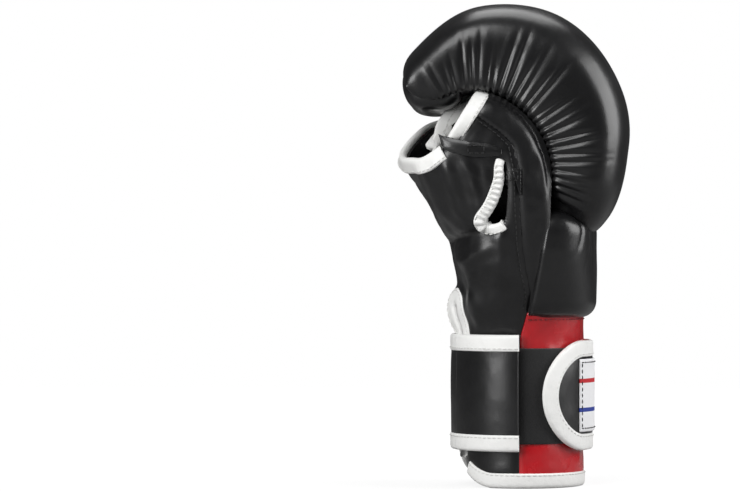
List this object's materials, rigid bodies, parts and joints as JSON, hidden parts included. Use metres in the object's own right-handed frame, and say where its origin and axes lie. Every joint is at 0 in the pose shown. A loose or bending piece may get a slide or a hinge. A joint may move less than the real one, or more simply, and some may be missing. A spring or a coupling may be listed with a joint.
{
  "type": "mma sparring glove",
  "caption": "Right-hand grappling sparring glove with a rolled knuckle pad, open palm, finger tubes, thumb hole and a wrap-round wrist strap with a round tab.",
  "frame": {"origin": "middle of the bounding box's base, on the surface the glove stands on", "axes": "+Z from the cuff's rim up to the knuckles, +X from the palm to the back of the hand, +Y from the thumb side to the little finger side"},
  "size_m": [0.1367, 0.142, 0.279],
  "materials": {
    "black_leather": "semi-gloss, fine grain",
    "red_leather": "gloss",
    "white_tape": "satin",
    "foam": "matte",
    "lining_fabric": "matte",
    "loop_fabric": "matte pile",
    "hook_plastic": "matte",
    "woven_label": "satin weave"
  },
  "bodies": {
    "glove": {"knuckle_pad_cover": "black_leather", "fingertip_lip": "black_leather", "hand_back_cover": "black_leather", "hand_back_liner": "black_leather", "thumb_side_gusset": "black_leather", "little_side_gusset": "black_leather", "palm_panel": "black_leather", "index_finger_stall": "black_leather", "middle_finger_stall": "black_leather", "ring_finger_stall": "black_leather", "little_finger_stall": "black_leather", "finger_band": "black_leather", "thumb_hole_patch": "black_leather", "wrist_flap_thumb": "black_leather", "wrist_flap_little": "black_leather", "cuff_back_cover": "red_leather", "little_side_panel": "red_leather", "mouth_binding": "white_tape", "thumb_hole_binding": "white_tape", "index_finger_binding": "white_tape", "middle_finger_binding": "white_tape", "ring_finger_binding": "white_tape", "little_finger_binding": "white_tape", "slit_binding": "white_tape", "rim_binding": "white_tape", "knuckle_foam_inner": "foam", "knuckle_foam_outer": "foam", "hand_back_foam": "foam", "cuff_back_foam": "foam", "hand_lining": "lining_fabric", "cuff_lining": "lining_fabric", "loop_panel": "loop_fabric"},
    "strap_palm": {"strap_palm_band": "black_leather", "strap_palm_binding": "white_tape"},
    "strap_side": {"strap_side_band": "black_leather", "strap_side_binding": "white_tape"},
    "strap_back": {"strap_back_band": "black_leather", "strap_back_binding": "white_tape", "back_hook_patch": "hook_plastic", "label_patch": "woven_label"},
    "strap_tab": {"strap_tab_band": "black_leather", "strap_tab_binding": "white_tape", "tab_hook_patch": "hook_plastic"}
  },
  "joints": [
    {"name": "strap_palm_swing", "type": "hinge", "parent": "glove", "child": "strap_palm", "pos_m": [0.0008, -0.04876, 0.053], "axis": [0, 0, 1], "range_deg": [0, 24]},
    {"name": "strap_side_swing", "type": "hinge", "parent": "strap_palm", "child": "strap_side", "pos_m": [-0.03409, 0.02264, 0.053], "axis": [0, 0, 1], "range_deg": [0, 42]},
    {"name": "strap_open", "type": "hinge", "parent": "strap_side", "child": "strap_back", "pos_m": [0.02749, 0.03885, 0.053], "axis": [0, 0, 1], "range_deg": [0, 120]},
    {"name": "tab_peel", "type": "hinge", "parent": "strap_back", "child": "strap_tab", "pos_m": [0.03503, -0.03007, 0.053], "axis": [0, 0, 1], "range_deg": [0, 60]}
  ],
  "couplings": [
    {"joint": "strap_palm_swing", "follows": "strap_open", "ratio": 0.2},
    {"joint": "strap_side_swing", "follows": "strap_open", "ratio": 0.35}
  ]
}
